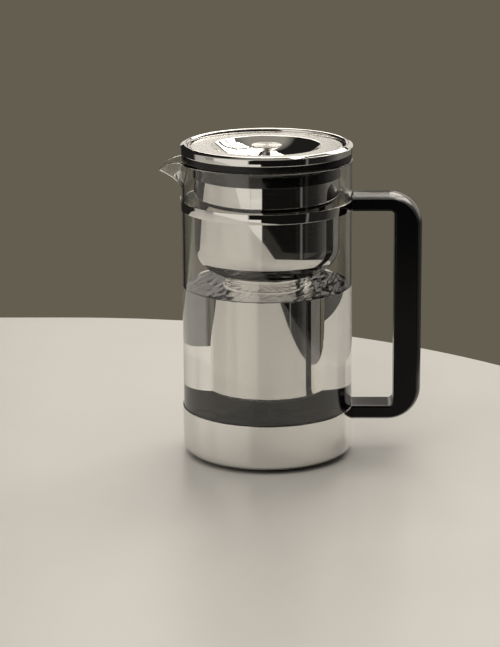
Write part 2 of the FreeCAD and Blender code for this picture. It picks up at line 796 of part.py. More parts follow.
# Turned knob, held from below by a screw and washer
knob_top = lid_top + d.knob_rise
screw_end = dish_bottom + d.knob_screw_grip
hole_end = screw_end + d.knob_hole_spare
turned("lid_knob", [
    corner(knob_hole, dish_bottom),
    corner(d.stem_radius, dish_bottom),
    corner(d.stem_radius, knob_top - d.knob_edge - d.knob_cone, d.knob_neck),
    corner(d.knob_radius, knob_top - d.knob_edge),
    corner(d.knob_radius, knob_top),
    corner(0, knob_top),
    corner(0, hole_end),
    corner(knob_hole, hole_end)])
washer_low = dish_under - d.washer_height
ring("knob_washer", knob_hole, d.washer_radius, washer_low, dish_under)
turned("knob_screw", [
    corner(0, washer_low - d.screw_head_height),
    corner(d.screw_head_radius, washer_low - d.screw_head_height),
    corner(d.screw_head_radius, washer_low),
    corner(d.screw_radius, washer_low),
    corner(d.screw_radius, screw_end),
    corner(0, screw_end)])

# Check every object and write one file per piece
doc.recompute()
for item in doc.Objects:
    if "Invalid" in item.State or "Error" in item.State:
        raise RuntimeError(f"{item.Name} failed: {item.State}")
for node in nodes:
    if node.Shape.isNull() or not node.Shape.isValid() or node.Shape.Volume <= 0:
        raise RuntimeError(f"{node.Label} has no valid solid")
os.makedirs("parts", exist_ok=True)
for node in nodes:
    node.Shape.exportStep(f"parts/{node.Label}.step")
    print(f"{node.Label}: {node.Shape.Volume / 1000:.2f} cm3, {len(node.Shape.Faces)} faces")
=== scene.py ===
# %% [markdown]
# # A glass water filter jug
# The CAD model already holds every real size, every joint and every piece in its place. This lesson gives
# it its looks: clear glass with water in it, mirror-polished steel, satin and glossy blacks. The model
# comes in as a fixed frame that is never moved or reshaped. Working round a frame means that each finish
# and each new mesh lands where the real piece is, and still moves with it when the jug is taken apart.

import math

import bmesh
import bpy
from mathutils import Euler, Matrix, Vector, noise


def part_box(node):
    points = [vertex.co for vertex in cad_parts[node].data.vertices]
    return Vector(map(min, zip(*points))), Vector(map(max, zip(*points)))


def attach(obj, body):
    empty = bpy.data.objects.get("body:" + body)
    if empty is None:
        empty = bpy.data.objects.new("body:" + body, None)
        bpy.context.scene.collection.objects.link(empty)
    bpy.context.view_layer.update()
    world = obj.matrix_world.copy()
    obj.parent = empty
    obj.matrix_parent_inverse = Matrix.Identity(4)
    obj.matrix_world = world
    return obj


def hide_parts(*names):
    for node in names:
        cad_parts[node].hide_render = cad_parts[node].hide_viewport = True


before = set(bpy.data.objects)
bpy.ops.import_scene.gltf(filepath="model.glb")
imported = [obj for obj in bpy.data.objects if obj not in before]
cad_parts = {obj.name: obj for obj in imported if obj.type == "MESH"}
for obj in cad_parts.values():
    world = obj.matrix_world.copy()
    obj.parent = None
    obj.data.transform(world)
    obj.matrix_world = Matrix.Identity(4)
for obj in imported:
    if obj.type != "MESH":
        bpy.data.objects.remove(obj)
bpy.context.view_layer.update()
MM = 0.001

# %% [markdown]
# ## The camera
# A product picture is taken with a long lens from a few steps away, so that the straight sides stay
# straight. The camera could be placed by eye until it looks right. Here it is worked out from a few plain
# numbers instead: how far it stands, how high it looks down from, how far it is turned round the jug, and
# how it is tipped. That way any of them can be read and changed by itself.

# %% Camera
IMAGE_HEIGHT = 647
SENSOR = 36.0
FOCAL_PIXELS = 2277.7
CAMERA_DISTANCE = 1.9093
CAMERA_RISE = math.radians(14.333)
CAMERA_ROUND = math.radians(1.0)
CAMERA_YAW = math.radians(-0.437)
CAMERA_PITCH = math.radians(-0.575)
CAMERA_ROLL = math.radians(-0.292)
LOOK_AT = Vector((0, 0, 130 * MM))

lens = bpy.data.cameras.new("camera")
lens.sensor_width = SENSOR
lens.lens = FOCAL_PIXELS * SENSOR / IMAGE_HEIGHT
camera = bpy.data.objects.new("camera", lens)
bpy.context.collection.objects.link(camera)
bpy.context.scene.camera = camera

aim = Euler((math.pi / 2 - CAMERA_RISE, 0, CAMERA_ROUND)).to_matrix()
trim = Matrix.Rotation(-CAMERA_YAW, 3, "Y") @ Matrix.Rotation(CAMERA_PITCH, 3, "X")
trim = trim @ Matrix.Rotation(CAMERA_ROLL, 3, "Z")
camera.matrix_world = (aim @ trim).to_4x4()
camera.location = LOOK_AT + aim @ Vector((0, 0, CAMERA_DISTANCE))
print("camera at", [round(place, 3) for place in camera.location], "lens", round(lens.lens, 1), "mm")

# %% [markdown]
# ## The table
# Mirror steel and glass have hardly any colour of their own: they show what stands round them. So the
# floor matters more here than in most scenes. An endless floor would fill every reflection with the same
# pale grey and the steel would look like plaster. A table top with two round ends gives the steel an edge
# to show. The jug stands near one end of it, as things on tables do, so each side of the steel shows
# another width of table.
#
# The table is the first turned shape, so the helpers for turned shapes come here. One rounds the corners
# of an outline, because no real edge is sharp. The other turns the outline round the axis, as a lathe
# does.

# %% Turned shapes and the table top
TABLE_RADIUS = 0.62
TABLE_END = (-0.218, -0.175, 0)
TABLE_STRAIGHT = 0.6
TABLE_THICK = 0.03
TABLE_EDGE = 0.008
ROUND_STEPS = 192
SHARP_ANGLE = math.radians(35)


def rounded(corners, steps=6):
    """Outline points from (radius, height, rounding) corners: a corner with a rounding becomes an arc."""
    points = []
    for index, (radius, height, rounding) in enumerate(corners):
        here = Vector((radius, height))
        if rounding == 0:
            points.append((radius, height))
            continue
        back = (Vector(corners[index - 1][:2]) - here).normalized()
        ahead = (Vector(corners[(index + 1) % len(corners)][:2]) - here).normalized()
        half = back.angle(ahead) / 2
        middle = here + (back + ahead).normalized() * (rounding / math.sin(half))
        start = here + back * (rounding / math.tan(half)) - middle
        end = here + ahead * (rounding / math.tan(half)) - middle
        first = math.atan2(start.y, start.x)
        sweep = (math.atan2(end.y, end.x) - first + math.pi) % math.tau - math.pi
        for step in range(steps + 1):
            angle = first + sweep * step / steps
            points.append((middle.x + rounding * math.cos(angle), middle.y + rounding * math.sin(angle)))
    return points


def new_piece(name, shape):
    """Turns a finished bmesh into a smooth object in the scene, with its true corners kept sharp."""
    bmesh.ops.recalc_face_normals(shape, faces=shape.faces)
    mesh = bpy.data.meshes.new(name)
    shape.to_mesh(mesh)
    shape.free()
    mesh.shade_smooth()
    mesh.set_sharp_from_angle(angle=SHARP_ANGLE)
    piece = bpy.data.objects.new(name, mesh)
    bpy.context.collection.objects.link(piece)
    return piece


def turned(name, points, steps=ROUND_STEPS):
    """A closed turned mesh from (radius, height) points that start and end on the axis, or make a ring."""
    shape = bmesh.new()
    corners = [shape.verts.new((radius, 0, height)) for radius, height in points]
    edges = [shape.edges.new(pair) for pair in zip(corners, corners[1:])]
    if points[0][0] > 0:
        edges.append(shape.edges.new((corners[-1], corners[0])))
    bmesh.ops.spin(shape, geom=corners + edges, axis=(0, 0, 1), cent=(0, 0, 0), angle=math.tau, steps=steps)
    bmesh.ops.remove_doubles(shape, verts=shape.verts, dist=1e-6)
    return new_piece(name, shape)


table = turned("table_top", rounded([
    (0, 0, 0),
    (TABLE_RADIUS, 0, TABLE_EDGE),
    (TABLE_RADIUS, -TABLE_THICK, TABLE_EDGE),
    (0, -TABLE_THICK, 0),
]))
for corner in table.data.vertices:
    if corner.co.x < -TABLE_EDGE:
        corner.co.x -= TABLE_STRAIGHT
table.location = TABLE_END
print("table top:", len(table.data.polygons), "faces,", 2 * TABLE_RADIUS, "m wide")

# %% [markdown]
# ## The table's finish, and helpers for every finish
# Each finish in this lesson is a small network of nodes round one Principled shader. A plain colour would
# do for a toy, but real surfaces vary a little everywhere, so a noise or a weave drives the roughness,
# the tint or a bump. A few short helpers keep the cells readable. The table is the first to use them: it
# is pale and half polished, and one slow noise moves both its shade and its polish.

# %% Node helpers and the table's finish


def node(tree, kind, **sockets):
    """A new shader node, with its inputs set by name."""
    made = tree.nodes.new("ShaderNode" + kind)
    for name, value in sockets.items():
        made.inputs[name].default_value = value
    return made


def join(source, target):
    """Joins an output socket to an input socket of the same tree."""
    source.id_data.links.new(source, target)


def new_finish(name, **sockets):
    """A new material: its tree and its Principled shader, with the shader's own sockets set."""
    finish = bpy.data.materials.new(name)
    finish.use_nodes = True
    shader = finish.node_tree.nodes["Principled BSDF"]
    for socket, value in sockets.items():
        shader.inputs[socket].default_value = value
    return finish, finish.node_tree, shader


def noise_at(tree, scale, detail=3, stretch=(1, 1, 1)):
    """Noise that sits still on the piece: `scale` is in lumps per metre."""
    place = node(tree, "TexCoord")
    mapping = node(tree, "Mapping", Scale=stretch)
    cloud = node(tree, "TexNoise", Scale=scale, Detail=detail)
    join(place.outputs["Object"], mapping.inputs["Vector"])
    join(mapping.outputs["Vector"], cloud.inputs["Vector"])
    return cloud


def spread(source, socket, low, high):
    """Lets a grey pattern move one shader socket between two values."""
    limits = node(socket.id_data, "MapRange", **{"To Min": low, "To Max": high})
    join(source.outputs[0], limits.inputs["Value"])
    join(limits.outputs["Result"], socket)


def tint(source, shader, low, high):
    """Lets a grey pattern move the base colour between two colours."""
    ramp = node(shader.id_data, "ValToRGB")
    ramp.color_ramp.elements[0].color = (*low, 1)
    ramp.color_ramp.elements[1].color = (*high, 1)
    join(source.outputs[0], ramp.inputs["Fac"])
    join(ramp.outputs["Color"], shader.inputs["Base Color"])


finish, tree, shader = new_finish("table_finish")
cloud = noise_at(tree, 9)
tint(cloud, shader, (0.57, 0.565, 0.545), (0.63, 0.625, 0.605))
spread(cloud, shader.inputs["Roughness"], 0.3, 0.42)
table.data.materials.append(finish)
print("finish:", finish.name)

# %% [markdown]
# ## The room that the steel shows
# A mirror needs something to mirror. In a studio that is a bright screen on one side and a dark one on
# the other. Panels could be stood round the jug, but a world shader does it with no extra objects. A
# radial gradient gives the direction round the jug, and one colour ramp paints the walls along it: a
# bright screen at the front left with a hard upright edge, black at the front right, grey on the left.
# That hard edge is what makes the bowl look like steel.

# %% Walls round the jug
WALL_WARMTH = (1.0, 0.945, 0.86)

# The walls from behind on the left, round the front, to behind on the right:
# degrees to the right of the camera, and brightness
WALLS = [
    (-112, 0.015), (-108, 0.4), (-90, 0.42), (-88, 0.28), (-75, 0.28), (-73, 0.72),
    (-24.5, 0.75), (-23.5, 0.006), (53, 0.006), (54, 0.16), (56, 0.16), (57, 0.012),
    (84, 0.02), (100, 0.08), (112, 0.16), (154, 0.16), (155, 0.015),
]


def way_round(turn):
    """Where a turn lies on the radial gradient, which has the camera at one half."""
    return turn / 360 + 0.5


world = bpy.data.worlds.new("room")
bpy.context.scene.world = world
world.use_nodes = True
room = world.node_tree

sky = node(room, "TexCoord")
aligned = node(room, "Mapping", Rotation=(0, 0, math.pi / 2 - CAMERA_ROUND))
radial = node(room, "TexGradient")
radial.gradient_type = "RADIAL"
join(sky.outputs["Generated"], aligned.inputs["Vector"])
join(aligned.outputs["Vector"], radial.inputs["Vector"])

walls = node(room, "ValToRGB")
stops = walls.color_ramp.elements
for turn, brightness in WALLS:
    stop = stops.new(way_round(turn))
    stop.color = (*[brightness * part for part in WALL_WARMTH], 1)
stops[0].color = stops[1].color
stops[-1].color = stops[-2].color
join(radial.outputs["Fac"], walls.inputs["Fac"])
print("walls:", len(stops), "stops round the jug")

# %% [markdown]
# ## The screen's foot, the wall behind and the ceiling
# Three more colours are laid over the painted walls by Mix nodes, each where a grey mask is white. Low
# down the screen has a foot that reaches further in front, so its edge has a step. Low down and straight
# behind is the plain wall, which shows through the glass. The ceiling is mid grey. Each mask comes from
# the height or the turn of the direction. Last of all, the camera itself sees only the plain wall: a
# Light Path node tells its rays from those of the steel.

# %% Foot, wall and ceiling
WALL = (0.125, 0.112, 0.08, 1)
CEILING = (0.3, 0.285, 0.25, 1)
SCREEN = (0.75, 0.71, 0.645, 1)
SCREEN_FOOT = (-24, -7)
SCREEN_FOOT_FADE = (0.001, 0.003)
SCREEN_FOOT_TOP = -0.2035
CRISP = 0.001
STRAIGHT_BEHIND = math.cos(math.radians(25))
BEHIND_FADE = 0.01
WALL_TOP = 0.05
CEILING_EDGE = (0.84, 0.94)


def toward(turn):
    """The level direction `turn` degrees to the right of the camera, seen from the jug."""
    angle = CAMERA_ROUND + math.radians(turn)
    return Vector((math.sin(angle), -math.cos(angle), 0))


def rising(value, low, high):
    """A grey that goes from 0 to 1 while a value goes from low to high."""
    limits = node(room, "MapRange", **{"From Min": low, "From Max": high})
    join(value, limits.inputs["Value"])
    return limits.outputs["Result"]


def both(one, other):
    """The share of the room that lies in two shares."""
    product = node(room, "Math")
    product.operation = "MULTIPLY"
    join(one, product.inputs[0])
    join(other, product.inputs[1])
    return product.outputs["Value"]


def laid_over(under, colour, share):
    """Lays a colour over the room where the share is 1."""
    over = node(room, "Mix")
    over.data_type = "RGBA"
    over.inputs[7].default_value = colour
    join(under, over.inputs[6])
    join(share, over.inputs[0])
    return over.outputs[2]


direction = node(room, "SeparateXYZ")
join(sky.outputs["Generated"], direction.inputs["Vector"])
rise = direction.outputs["Z"]
first, last = [way_round(turn) for turn in SCREEN_FOOT]
in_front = both(
    rising(radial.outputs["Fac"], first - SCREEN_FOOT_FADE[0], first),
    rising(radial.outputs["Fac"], last, last - SCREEN_FOOT_FADE[1]),
)
low_down = rising(rise, SCREEN_FOOT_TOP, SCREEN_FOOT_TOP - CRISP)
lit = laid_over(walls.outputs["Color"], SCREEN, both(in_front, low_down))

backward = node(room, "VectorMath")
backward.operation = "DOT_PRODUCT"
backward.inputs[1].default_value = toward(180)
join(sky.outputs["Generated"], backward.inputs[0])
behind = rising(backward.outputs["Value"], STRAIGHT_BEHIND, STRAIGHT_BEHIND + BEHIND_FADE)
lit = laid_over(lit, WALL, both(behind, rising(rise, WALL_TOP, 0.0)))
lit = laid_over(lit, CEILING, rising(rise, *CEILING_EDGE))

seen = node(room, "LightPath")
lit = laid_over(lit, WALL, seen.outputs["Is Camera Ray"])
join(lit, room.nodes["Background"].inputs["Color"])
print("room:", len(room.nodes), "nodes")

# %% [markdown]
# ## The window
# The main light is one tall window behind the jug on the handle's side. It makes the lid shine and throws
# a soft shadow forward. It is cut into panes, because the lid's dish shows its picture, and a bare
# rectangle there looks like a lamp. The lowest panes look out on a hedge, so they are dimmer than the sky
# above. A wide soft light overhead lifts the shadows. The steel must not show it, so it is hidden from
# mirrors.

# %% Window panes
WINDOW_TURN = 161
WINDOW_AWAY = 1.7
WINDOW_HALF = 1.1
WINDOW_LOW = 0.06
WINDOW_HIGH = 3.7
PANE_GAP = 0.12
PANE_COLUMNS = 3
ROW_BRIGHTNESS = (0.7, 3.4, 3.4, 3.4)
SKYLIGHT = (1.0, 0.935, 0.845)
FILL_HEIGHT = 2.3
FILL_SIDE = 2.4
FILL_BRIGHTNESS = 2.1


def pane(name, place, target, width, tall, brightness):
    """A rectangular soft light with the brightness that a mirror would show."""
    lamp = bpy.data.lights.new(name, "AREA")
    lamp.shape = "RECTANGLE"
    lamp.size = width
    lamp.size_y = tall
    lamp.energy = brightness * math.pi * width * tall
    lamp.color = SKYLIGHT
    light = bpy.data.objects.new(name, lamp)
    light.location = place
    light.rotation_euler = (target - place).to_track_quat("-Z", "Y").to_euler()
    light.visible_camera = False
    bpy.context.collection.objects.link(light)
    return light


outward = toward(WINDOW_TURN) * WINDOW_AWAY
along = Vector((0, 0, 1)).cross(outward).normalized()
pane_width = (2 * WINDOW_HALF - PANE_GAP * (PANE_COLUMNS - 1)) / PANE_COLUMNS
pane_tall = (WINDOW_HIGH - WINDOW_LOW - PANE_GAP * (len(ROW_BRIGHTNESS) - 1)) / len(ROW_BRIGHTNESS)
for row, brightness in enumerate(ROW_BRIGHTNESS):
    for column in range(PANE_COLUMNS):
        across = -WINDOW_HALF + pane_width / 2 + column * (pane_width + PANE_GAP)
        up = WINDOW_LOW + pane_tall / 2 + row * (pane_tall + PANE_GAP)
        place = outward + along * across + Vector((0, 0, up))
        pane(f"pane_{row}_{column}", place, place - outward, pane_width, pane_tall, brightness)
above = Vector((0, 0, FILL_HEIGHT))
fill = pane("overhead_fill", above, above * 0.5, FILL_SIDE, FILL_SIDE, FILL_BRIGHTNESS)
fill.visible_glossy = False
print("lights:", len(bpy.data.lights))

# %% [markdown]
# ## Mirror steel
# The cup, the band, the bowl, the rolled rim and the filter housing are stainless steel sheet, buffed
# until they mirror. Real buffed sheet is never quite even: the haze and the warm tint drift a little, and
# the sheet waves by a few thousandths of a millimetre. Three slow noises give that and nothing more. Two
# helpers come with this finish: one dresses a CAD piece as it is, and the other fits a new mesh in the
# place of CAD pieces.

# %% Mirror steel


def bump(source, shader, height, strength=1.0):
    """Raises a grey pattern by `height` metres in the shading."""
    relief = node(shader.id_data, "Bump", Strength=strength, Distance=height)
    join(source.outputs[0], relief.inputs["Height"])
    join(relief.outputs["Normal"], shader.inputs["Normal"])


def dress(finish, *names):
    """Gives CAD nodes a finish through their material slots."""
    for name in names:
        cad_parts[name].material_slots[0].material = finish
    print(finish.name, "on", ", ".join(names))


def fit(piece, body, slot, finish, *replaced):
    """Puts a new piece on its body with its finish in a new material slot, in place of the CAD nodes that
    it stands for. The slot argument is not used.
    """
    piece.data.materials.append(finish)
    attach(piece, body)
    if replaced:
        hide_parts(*replaced)
    stands_for = ", ".join(replaced) or "nothing in the CAD"
    print(piece.name, "with", len(piece.data.polygons), "faces, for", stands_for)


steel, tree, shader = new_finish("mirror_steel", Metallic=1.0)
tint(noise_at(tree, 18), shader, (0.84, 0.83, 0.81), (0.92, 0.91, 0.89))
spread(noise_at(tree, 60, detail=6), shader.inputs["Roughness"], 0.01, 0.05)
bump(noise_at(tree, 30, detail=1), shader, 0.008 * MM)
dress(steel, "filter_housing")

# %% [markdown]
# ## Cup and band with soft edges
# In the CAD model the cup and the band end in square-cut edges, which is right for fitting them together.
# On the real pieces each cut edge is rolled or buffed round, and that thin round edge draws the bright
# line along every rim. A bevel modifier would do it too, but these are turned pieces, so it is simpler to
# round the corners of the outline and turn it again. Each outline takes its levels from the CAD node that
# it replaces.

# %% Cup and band
CUP_SHEET = 0.6 * MM
CUP_HEEL = 9.0 * MM
EDGE = 0.28 * MM

low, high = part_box("base_cup")
cup = turned("drawn_cup", rounded([
    (0, low.z, 0),
    (high.y, low.z, CUP_HEEL),
    (high.y, high.z, EDGE),
    (high.y - CUP_SHEET, high.z, EDGE),
    (high.y - CUP_SHEET, low.z + CUP_SHEET, CUP_HEEL - CUP_SHEET),
    (0, low.z + CUP_SHEET, 0),
], steps=12))
fit(cup, "jug", "polished_steel", steel, "base_cup")

low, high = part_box("neck_band")
band = turned("buffed_band", rounded([
    (high.y - CUP_SHEET, low.z, EDGE),
    (high.y, low.z, EDGE),
    (high.y, high.z, EDGE),
    (high.y - CUP_SHEET, high.z, EDGE),
]))
fit(band, "jug", "polished_steel", steel, "neck_band")

# %% [markdown]
# ## The seamless bowl
# The bowl's bottom is drawn from one sheet, and its wall is welded on above. On the real bowl the weld is
# ground and polished until nobody can find it, so one mesh stands for both CAD pieces. The wide corner at
# the bottom bends table and room together in its reflection, so it gets many steps. In the middle the
# sheet turns down into the neck that holds the housing.

# %% Bowl
BOWL_SHEET = 0.7 * MM
BOWL_CORNER = 24.0 * MM
NECK_RADIUS = 34.65 * MM
NECK_BEND = 1.2 * MM
NECK_HEIGHT = 11.0 * MM

low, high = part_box("reservoir_bowl")
wall_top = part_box("reservoir_wall")[1].z
bowl_radius = high.y
bowl_bottom = low.z + NECK_HEIGHT
bowl = turned("seamless_bowl", rounded([
    (NECK_RADIUS, low.z, EDGE),
    (NECK_RADIUS, bowl_bottom, NECK_BEND),
    (bowl_radius, bowl_bottom, BOWL_CORNER),
    (bowl_radius, wall_top, 0),
    (bowl_radius - BOWL_SHEET, wall_top, 0),
    (bowl_radius - BOWL_SHEET, bowl_bottom + BOWL_SHEET, BOWL_CORNER - BOWL_SHEET),
    (NECK_RADIUS - BOWL_SHEET, bowl_bottom + BOWL_SHEET, NECK_BEND + BOWL_SHEET),
    (NECK_RADIUS - BOWL_SHEET, low.z, EDGE),
], steps=16))
fit(bowl, "insert", "polished_steel", steel, "reservoir_bowl", "reservoir_wall")

# %% [markdown]
# ## The rolled rim
# The rim is one spun sheet: the ledge that carries the lid, a step up, a sloping shoulder over the gasket
# and a short skirt. From the camera it is the brightest line of the whole jug, and it shows window,
# ceiling and screen in turn over a few millimetres. That takes true round bends, so they get more steps
# than their small size would need.

# %% Rolled rim
LEDGE_SHEET = 0.7 * MM
RIM_WIDTH = 6.3 * MM
INNER_BEND = 2.35 * MM
CREST_BEND = 2.0 * MM
SHOULDER_START = 2.85 * MM
SHOULDER_DROP = 1.85 * MM
SHOULDER_BEND = 1.5 * MM
LEDGE_BEND = 0.5 * MM
HEM = 0.6 * MM

low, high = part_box("rim_ring")
ledge_low = wall_top
rim_inside = high.y - RIM_WIDTH
ledge_inside = bowl_radius - BOWL_SHEET
crest = rim_inside + SHOULDER_START
under = high.z - LEDGE_SHEET
rim = turned("rolled_rim", rounded([
    (ledge_inside, ledge_low, 0),
    (rim_inside + LEDGE_SHEET, ledge_low, LEDGE_BEND),
    (rim_inside + LEDGE_SHEET, under, INNER_BEND - LEDGE_SHEET),
    (crest, under, CREST_BEND - LEDGE_SHEET),
    (high.y - LEDGE_SHEET, under - SHOULDER_DROP, SHOULDER_BEND - LEDGE_SHEET),
    (high.y - LEDGE_SHEET, low.z, 0),
    (high.y, low.z, HEM),
    (high.y, high.z - SHOULDER_DROP, SHOULDER_BEND),
    (crest, high.z, CREST_BEND),
    (rim_inside, high.z, INNER_BEND),
    (rim_inside, ledge_low + LEDGE_SHEET, LEDGE_BEND),
    (ledge_inside, ledge_low + LEDGE_SHEET, EDGE),
], steps=16))
fit(rim, "insert", "polished_steel", steel, "rim_ring")

# %% [markdown]
# ## The lid
# The lid's dish is polished like the bowl, but the flat ring round it was brushed while it spun, so it
# shows only soft light and no picture. One disc can carry both finishes: the distance from the axis
# decides which. The fine rings that the brushing leaves are a noise along that same distance.

# %% Lid
DISH_LIP = (44.6 * MM, 45.6 * MM)
DISH_ROUGHNESS = 0.015
RING_ROUGHNESS = 0.2
BRUSHING_PER_METRE = 2500.0

lid_steel, tree, shader = new_finish("brushed_lid", Metallic=1.0)
place = node(tree, "TexCoord")
flatten = node(tree, "Mapping", Scale=(1, 1, 0))
distance = node(tree, "VectorMath")
distance.operation = "LENGTH"
join(place.outputs["Object"], flatten.inputs["Vector"])
join(flatten.outputs["Vector"], distance.inputs[0])
brushing = node(tree, "TexNoise", Scale=BRUSHING_PER_METRE, Detail=2.0)
brushing.noise_dimensions = "1D"
join(distance.outputs["Value"], brushing.inputs["W"])
ring = node(tree, "MapRange", **{
    "From Min": DISH_LIP[0],
    "From Max": DISH_LIP[1],
    "To Min": DISH_ROUGHNESS,
    "To Max": RING_ROUGHNESS,
})
join(distance.outputs["Value"], ring.inputs["Value"])
join(ring.outputs["Result"], shader.inputs["Roughness"])
tint(brushing, shader, (0.8, 0.79, 0.765), (0.85, 0.84, 0.815))
dress(lid_steel, "lid_disc")

# %% [markdown]
# ## The turned knob
# The knob is turned on a lathe, and its cutter leaves rings too fine to see one by one. Together they
# smear every highlight across the rings, which is the fan of light on its flat top. Modelling thousands
# of grooves would take memory for nothing: the anisotropic shader with a tangent that runs round the axis
# does the same.

# %% Turned knob
KNOB_EDGE = 0.9 * MM
KNOB_CONE = 4.5 * MM
KNOB_NECK = 1.5 * MM
KNOB_FLAT = 0.9
STEM_RADIUS = 3.6 * MM
SOFT_EDGE = 0.3 * MM

turned_steel, tree, shader = new_finish("turned_steel", Metallic=1.0, Anisotropic=0.95, Roughness=0.27)
around = node(tree, "Tangent")
around.direction_type = "RADIAL"
around.axis = "Z"
join(around.outputs["Tangent"], shader.inputs["Tangent"])
tint(noise_at(tree, 90), shader, (0.66, 0.65, 0.62), (0.78, 0.765, 0.735))

low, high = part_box("lid_knob")
knob = turned("turned_knob", rounded([
    (0, low.z, 0),
    (STEM_RADIUS, low.z, 0),
    (STEM_RADIUS, high.z - KNOB_EDGE - KNOB_CONE, KNOB_NECK),
    (high.y, high.z - KNOB_EDGE, SOFT_EDGE),
    (high.y, high.z, SOFT_EDGE),
    (high.y * KNOB_FLAT, high.z, 0),
    (0, high.z, 0),
]))
fit(knob, "lid", "polished_steel", turned_steel, "lid_knob")

# %% [markdown]
# ## Brackets and plain fasteners
# The tongues that carry the handle, and the washer and screw under the lid's knob, are plain zinc-plated
# steel. They are mostly hidden, so their CAD shapes stay as they are. The finish is a duller metal with
# the faint streaks that rolling leaves along a strip: a noise that is drawn out along one axis.

# %% Zinc-plated steel
plain_steel, tree, shader = new_finish("zinc_plated_steel", Metallic=1.0)
rolled = noise_at(tree, 400, detail=4, stretch=(1, 0.04, 1))
tint(rolled, shader, (0.5, 0.5, 0.49), (0.62, 0.615, 0.6))
spread(rolled, shader.inputs["Roughness"], 0.28, 0.42)
dress(plain_steel, "upper_bracket", "lower_bracket", "knob_washer", "knob_screw")

# %% [markdown]
# ## Screws with a hexagonal socket
# The two screws under the handle's bars can be seen from below, so they get a socket for a hexagonal key.
# A socket is not round, so a lathe can't make it. It could be cut with a boolean, but that leaves untidy
# faces. Instead each screw is woven from upright columns of points, and in each column the socket's wall
# stands where a hexagon has its side.

# %% Socket screws
SCREW_HEAD = 3.6 * MM
SCREW_HEAD_TALL = 2.2 * MM
SCREW_SHANK = 2.0 * MM
SCREW_LENGTH = 6.2 * MM
SCREW_COLUMNS = 72
SOCKET_FLAT = 1.5 * MM
SOCKET_DEEP = 1.4 * MM
SOCKET_SIDE = 60


def woven(shape, angles, columns, across=0.0):
    """Joins columns of (radius, height) points round an upright axis at x = across into a closed skin."""
    first = shape.verts.new((across, 0, columns[0][0][1]))
    last = shape.verts.new((across, 0, columns[0][-1][1]))
    grid = []
    for angle, column in zip(angles, columns):
        turn = math.radians(angle)
        line = [shape.verts.new((across + radius * math.cos(turn), radius * math.sin(turn), height))
                for radius, height in column[1:-1]]
        grid.append([first, *line, last])
    for here, there in zip(grid, grid[1:] + grid[:1]):
        for row in range(len(here) - 1):
            corners = [here[row], there[row], there[row + 1], here[row + 1]]
            shape.faces.new(list(dict.fromkeys(corners)))


low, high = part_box("handle_screws")
screw_across = (low.x + high.x) / 2
angles = [360 * step / SCREW_COLUMNS for step in range(SCREW_COLUMNS)]
shape = bmesh.new()
for face in (low.z, high.z - SCREW_LENGTH):
    columns = []
    for angle in angles:
        off_middle = (angle + SOCKET_SIDE / 2) % SOCKET_SIDE - SOCKET_SIDE / 2
        socket = SOCKET_FLAT / math.cos(math.radians(off_middle))
        columns.append(rounded([
            (0, face + SOCKET_DEEP, 0),
            (socket, face + SOCKET_DEEP, 0),
            (socket, face, 0),
            (SCREW_HEAD, face, SOFT_EDGE),
            (SCREW_HEAD, face + SCREW_HEAD_TALL, 0),
            (SCREW_SHANK, face + SCREW_HEAD_TALL, 0),
            (SCREW_SHANK, face + SCREW_LENGTH, SOFT_EDGE),
            (0, face + SCREW_LENGTH, 0),
        ]))
    woven(shape, angles, columns, screw_across)
fit(new_piece("socket_screws", shape), "jug", "plain_steel", plain_steel, "handle_screws")

# %% [markdown]
# ## Satin black handle
# The handle is moulded plastic with a fine spark-eroded grain. It looks nearly black face on, and its top
# turns grey where the window is seen over it at a low angle. The sides keep the dull grain of the mould,
# while hands and dishcloths polish whatever faces up, so the gloss follows how far the surface looks
# upward. The grain is a bump of a few hundredths of a millimetre.

# %% Satin black
satin_black, tree, shader = new_finish("satin_black", IOR=1.75)
tint(noise_at(tree, 45), shader, (0.002, 0.002, 0.0025), (0.005, 0.005, 0.006))
facing = node(tree, "NewGeometry")
upward = node(tree, "SeparateXYZ")
polish = node(tree, "MapRange", **{"From Min": 0.2, "From Max": 0.8, "To Min": 0.09, "To Max": 1.0})
join(facing.outputs["Normal"], upward.inputs["Vector"])
join(upward.outputs["Z"], polish.inputs["Value"])
join(polish.outputs["Result"], shader.inputs["Specular IOR Level"])
spread(noise_at(tree, 35), shader.inputs["Roughness"], 0.17, 0.24)
bump(noise_at(tree, 2600, detail=2), shader, 0.02 * MM, strength=0.4)
dress(satin_black, "handle")

# %% [markdown]
# ## Soft black silicone
# The gasket, the lid's ring, the cartridge's ring and the foot are soft silicone: black, with a dull
# shine that varies a little from place to place. The two small rings keep their CAD shape, because only a
# thin line of each is seen.

# %% Soft black silicone
silicone, tree, shader = new_finish("soft_black", IOR=1.43)
tint(noise_at(tree, 120), shader, (0.004, 0.004, 0.0045), (0.009, 0.009, 0.0095))
spread(noise_at(tree, 300), shader.inputs["Roughness"], 0.22, 0.34)
dress(silicone, "lid_seal", "cartridge_seal")

# %% [markdown]
# ## The glossy collar
# The collar is a hard moulding that centres the bowl in the glass. It is as black as the silicone, so
# only gloss and edges tell the two apart: the collar mirrors like a piano, and its edges are tight. It is
# turned again for the sake of those edges.

# %% Glossy collar
COLLAR_INSIDE = 60.6 * MM
COLLAR_WAIST = 61.3 * MM
COLLAR_STEP = 247.1 * MM
COLLAR_EDGE = 0.35 * MM

gloss_black, tree, shader = new_finish("gloss_black", IOR=1.75)
tint(noise_at(tree, 80), shader, (0.003, 0.003, 0.0035), (0.006, 0.006, 0.0065))
spread(noise_at(tree, 150), shader.inputs["Roughness"], 0.03, 0.08)

